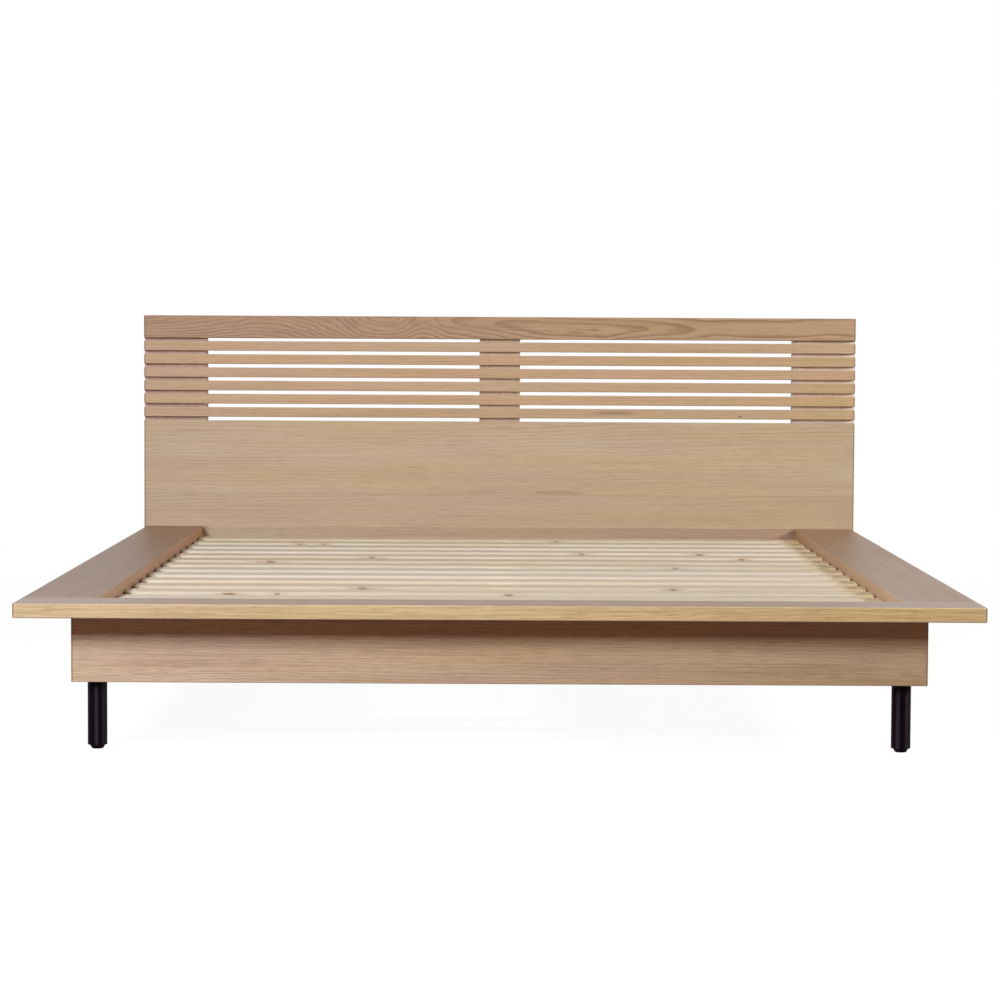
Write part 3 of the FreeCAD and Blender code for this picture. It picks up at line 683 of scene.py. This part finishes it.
# The foot ledge's long edges get paler lipping, partly its own colour and partly painted light.
FOOT_LEDGE = Oak(
    (162, 144, 131), STRAIGHT, seed=21.0, grain=2.2,
    tints=(tint(0.94, 0.92, 0.96), tint(0.99, 0.96, 0.95)),
    lip=(tint(1.84, 2.00, 1.58), tint(2.48, 2.57, 1.70)),
)
APRON_HEART = [
    (0.000, 0.420, 0.28), (0.033, 0.412, 0.28), (0.079, 0.388, 0.28), (0.132, 0.402, 0.28),
    (0.220, 0.404, 0.28), (0.500, 0.400, 0.28), (1.000, 0.392, 0.28),
]
FOOT_APRON = Oak(
    (222, 202, 176), APRON_HEART, seed=22.0, figure=0.42, grain=1.5, cloud=0.9, deep=1.35,
    tints=(tint(1.02, 1.02, 1.04), tint(0.98, 0.93, 0.80)),
    marks_and_shadows=((0.517, -0.025, 0.003, 0.0016, 0.9),),
)
LEDGE_WOODS = {"left": (127, 100, 81), "right": (145, 119, 98)}
LEDGE_TINTS = (WHITE, tint(1.24, 1.12, 0.97))
# Paler lipping on the side ledges' long edges, partly their own colour and partly painted light on their
# faces into the well.
LEDGE_LIPPING_AND_LIGHT = {
    "left": (tint(2.12, 2.14, 2.20), tint(1.49, 1.40, 1.28)),
    "right": (tint(1.82, 1.86, 1.82), tint(1.37, 1.40, 1.36)),
}
SIDE_APRON_WOOD = (198, 168, 142)

# The marks are painted shadows in the dark corners at the two ends of the rail's lip, where the side ledges
# shade it.
REAR_RAIL = Oak(
    (187, 170, 149), STRAIGHT, seed=31.0,
    tints=(WHITE, tint(0.86, 0.76, 0.72)),
    marks_and_shadows=((-0.777, 0.070, 0.024, 0.022, 0.55), (0.777, 0.070, 0.024, 0.022, 0.45)),
)


def dress_base():
    """Ledges, aprons and rear rail."""
    oak("foot_ledge", X, Z, FOOT_LEDGE)
    oak("foot_apron", X, Y, FOOT_APRON)
    for number, (side, main) in enumerate(LEDGE_WOODS.items()):
        ledge = Oak(main, STRAIGHT, seed=24.0 + number, tints=LEDGE_TINTS, tint_late=True,
                    lip=LEDGE_LIPPING_AND_LIGHT[side])
        oak("side_ledge_" + side, Y, Z, ledge)
        oak("side_apron_" + side, Y, X, Oak(SIDE_APRON_WOOD, STRAIGHT, seed=27.0 + number))
    oak("rear_rail", X, Y, REAR_RAIL)


# Knots along the front edge of the deck slats, by slat: place along and across, and radius.
KNOTS = {
    3: ((-0.558, -0.028, 0.015), (-0.459, -0.031, 0.007), (0.018, -0.030, 0.010)),
    4: ((-0.289, -0.028, 0.013), (0.366, -0.031, 0.007)),
    8: ((0.747, -0.028, 0.014), (0.404, -0.030, 0.009)),
    9: ((-0.534, -0.029, 0.012),),
    10: ((-0.304, -0.030, 0.009), (0.579, -0.031, 0.008)),
    11: ((0.487, -0.030, 0.010), (0.200, -0.030, 0.009)),
    13: ((-0.503, -0.030, 0.009), (-0.443, -0.030, 0.008)),
    14: ((0.147, -0.031, 0.007),),
}
SLAT_PINES = ((234, 224, 208), (230, 223, 211), (226, 215, 197), (233, 227, 217), (229, 222, 207))
SLAT_PINE_STEP = 3
DOWEL_WOOD = (214, 186, 150)
SIDES = ("left", "right")
CORNERS = ("front_left", "front_right", "rear_left", "rear_right")


def dress_deck():
    """Deck slats, and the pine under and inside the base."""
    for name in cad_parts:
        if name.startswith("deck_slat_"):
            number = int(name.split("_")[-1])
            main = SLAT_PINES[number * SLAT_PINE_STEP % len(SLAT_PINES)]
            pine(name, X, Z, seed=0.7 * number, main=main, knots=KNOTS.get(number, ()))
    for number, side in enumerate(SIDES):
        pine("batten_" + side, Y, X, seed=20.0 + number)
    pine("centre_beam", Y, X, seed=24.0)
    for number, corner in enumerate(CORNERS):
        pine("corner_block_" + corner, Z, X, seed=26.0 + number)
    pine("ledge_dowels", Z, X, seed=40.0, main=DOWEL_WOOD)


LEG_BLACK = (14, 4, 14)
FOOT_BLACK = (24, 18, 23)

# Painted highlights down each tube, standing in for the lamps' glints, as shares of its half width.
PAINTED_HIGHLIGHT_LINES = {"left": (0.02, 0.72), "right": (-0.44, 0.48), "centre": (-0.33, 0.52)}
FASTENINGS = (
    "barrel_nuts", "beam_brackets", "bracket_screws", "deck_screws", "frame_screws",
    "headboard_bolts", "headboard_screws", "leg_inserts",
)


def dress_metal():
    """Legs with their levelling feet, and everything zinc plated."""
    for spot in CORNERS + ("centre",):
        side = spot.split("_")[-1]
        black_coat("leg_" + spot, LEG_BLACK, roughness=0.40, peel=0.12, painted_highlights=PAINTED_HIGHLIGHT_LINES[side])
        black_coat("levelling_foot_" + spot, FOOT_BLACK, roughness=0.55, peel=0.2)
    plate = zinc("zinc_plate")
    for name in FASTENINGS:
        dress(name, plate)


# What the camera sees of the floor is near white. Other light gets only a faint warm bounce from it.
FLOOR_SIZE = 80.0
FLOOR_BOUNCE = (0.03, 0.012, 0.006, 1.0)
FLOOR_GLOW = 0.94
FLOOR_SHADE = (0.11, 0.11, 0.11, 1.0)
FLOOR_SHADE_ENDS = (2.2, 4.5)
WORLD_LIGHT = 0.005


def studio_floor():
    """A pale floor that reads as the white ground of the photograph and keeps a soft shadow."""
    bpy.ops.object.select_all(action="DESELECT")
    bpy.ops.mesh.primitive_plane_add(size=FLOOR_SIZE, location=(0.0, 0.0, 0.0))
    floor = bpy.context.object
    floor.name = "studio_floor"
    finish = new_finish("studio_floor_white")
    bounced = finish.add("ShaderNodeBsdfDiffuse", None, {"Color": FLOOR_BOUNCE})
    reach = finish.add("ShaderNodeVectorMath", {"operation": "LENGTH"}, {0: finish.place()}, "Value")
    glow = finish.add("ShaderNodeEmission", None, {"Color": WHITE, "Strength": FLOOR_GLOW})
    shade = finish.add("ShaderNodeBsdfDiffuse", None, {"Color": FLOOR_SHADE})
    near = finish.add("ShaderNodeAddShader", None, {0: glow, 1: shade})
    far = finish.add("ShaderNodeEmission", None, {"Color": WHITE, "Strength": 1.0})
    faded = finish.step(reach, *FLOOR_SHADE_ENDS)
    ground = finish.add("ShaderNodeMixShader", None, {0: faded, 1: near, 2: far})
    shown = finish.add("ShaderNodeMixShader", None, {0: finish.seen(), 1: bounced, 2: ground})
    finish.add("ShaderNodeOutputMaterial", None, {"Surface": shown})
    floor.data.materials.append(finish.owner)


def studio_world():
    """White behind the bed, and a plain even light from all round."""
    world = bpy.data.worlds.new("studio_world")
    bpy.context.scene.world = world
    finish = Finish(world)
    even = finish.add("ShaderNodeBackground", None, {"Color": WHITE, "Strength": WORLD_LIGHT})
    white = finish.add("ShaderNodeBackground", None, {"Color": WHITE, "Strength": 1.0})
    shown = finish.add("ShaderNodeMixShader", None, {0: finish.seen(), 1: even, 2: white})
    finish.add("ShaderNodeOutputWorld", None, {"Surface": shown})


COOL = (0.98, 0.99, 1.0)
WARM = (1.0, 0.98, 0.95)
WARMER = (1.0, 0.97, 0.92)
AMBER = (1.0, 0.28, 0.07)


def softbox(name, place, aim, size, power, colour, gleam=True):
    """A lamp with a square face, turned towards a point of the bed. gleam says if it shows in reflections."""
    light = bpy.data.lights.new(name, "AREA")
    light.shape = "SQUARE"
    light.size = size
    light.energy = power
    light.color = colour
    lamp = bpy.data.objects.new(name, light)
    bpy.context.scene.collection.objects.link(lamp)
    lamp.visible_glossy = gleam
    lamp.location = place
    lamp.rotation_euler = (Vector(aim) - Vector(place)).to_track_quat("-Z", "Y").to_euler()


def studio_lamps():
    """Three lamps as in the photograph, a weak warm one in front, and two for the sides it doesn't show."""
    softbox("key_softbox", place=(-1.94, -3.95, 1.93), aim=(0.0, -0.3, 0.4),
            size=1.0, power=130.0, colour=COOL)
    softbox("left_softbox", place=(-3.8, -3.5, 4.2), aim=(0.0, 0.3, 0.3),
            size=0.8, power=135.0, colour=WARM)
    softbox("right_softbox", place=(4.2, -1.05, 1.9), aim=(0.0, 0.6, 0.35),
            size=0.6, power=158.0, colour=WARMER)
    softbox("front_softbox", place=(-2.0, -7.1, 0.9), aim=(0.0, 0.0, 0.4),
            size=0.9, power=37.0, colour=AMBER)
    softbox("back_softbox", place=(0.0, 4.8, 0.6), aim=(0.0, 1.1, 0.45),
            size=0.8, power=55.0, colour=WARM, gleam=False)
    softbox("side_softbox", place=(-4.6, 1.6, 0.7), aim=(-0.9, 0.0, 0.25),
            size=0.8, power=45.0, colour=WARM, gleam=False)


# As the photograph was taken: from the foot end, a little below the top of the headboard.
CAMERA_PLACE = (-0.00995, -6.6883, 0.82676)
CAMERA_LENS = 106.49
CAMERA_SENSOR = 36.0
CAMERA_REACH = 200.0
CAMERA_PITCH = -0.059192
CAMERA_ROLL = 0.005193
CAMERA_YAW = -0.001589


def studio_camera():
    lens = bpy.data.cameras.new("camera")
    lens.lens = CAMERA_LENS
    lens.sensor_width = CAMERA_SENSOR
    lens.clip_end = CAMERA_REACH
    camera = bpy.data.objects.new("camera", lens)
    bpy.context.scene.collection.objects.link(camera)
    turn = Euler((math.pi / 2 + CAMERA_PITCH, 0.0, CAMERA_YAW)).to_matrix()
    turn = turn @ Matrix.Rotation(CAMERA_ROLL, 3, "Z")
    camera.matrix_world = Matrix.Translation(CAMERA_PLACE) @ turn.to_4x4()
    bpy.context.scene.camera = camera
    bpy.context.scene.view_settings.view_transform = "Standard"


dress_headboard()
dress_base()
dress_deck()
dress_metal()
studio_floor()
studio_world()
studio_lamps()
studio_camera()
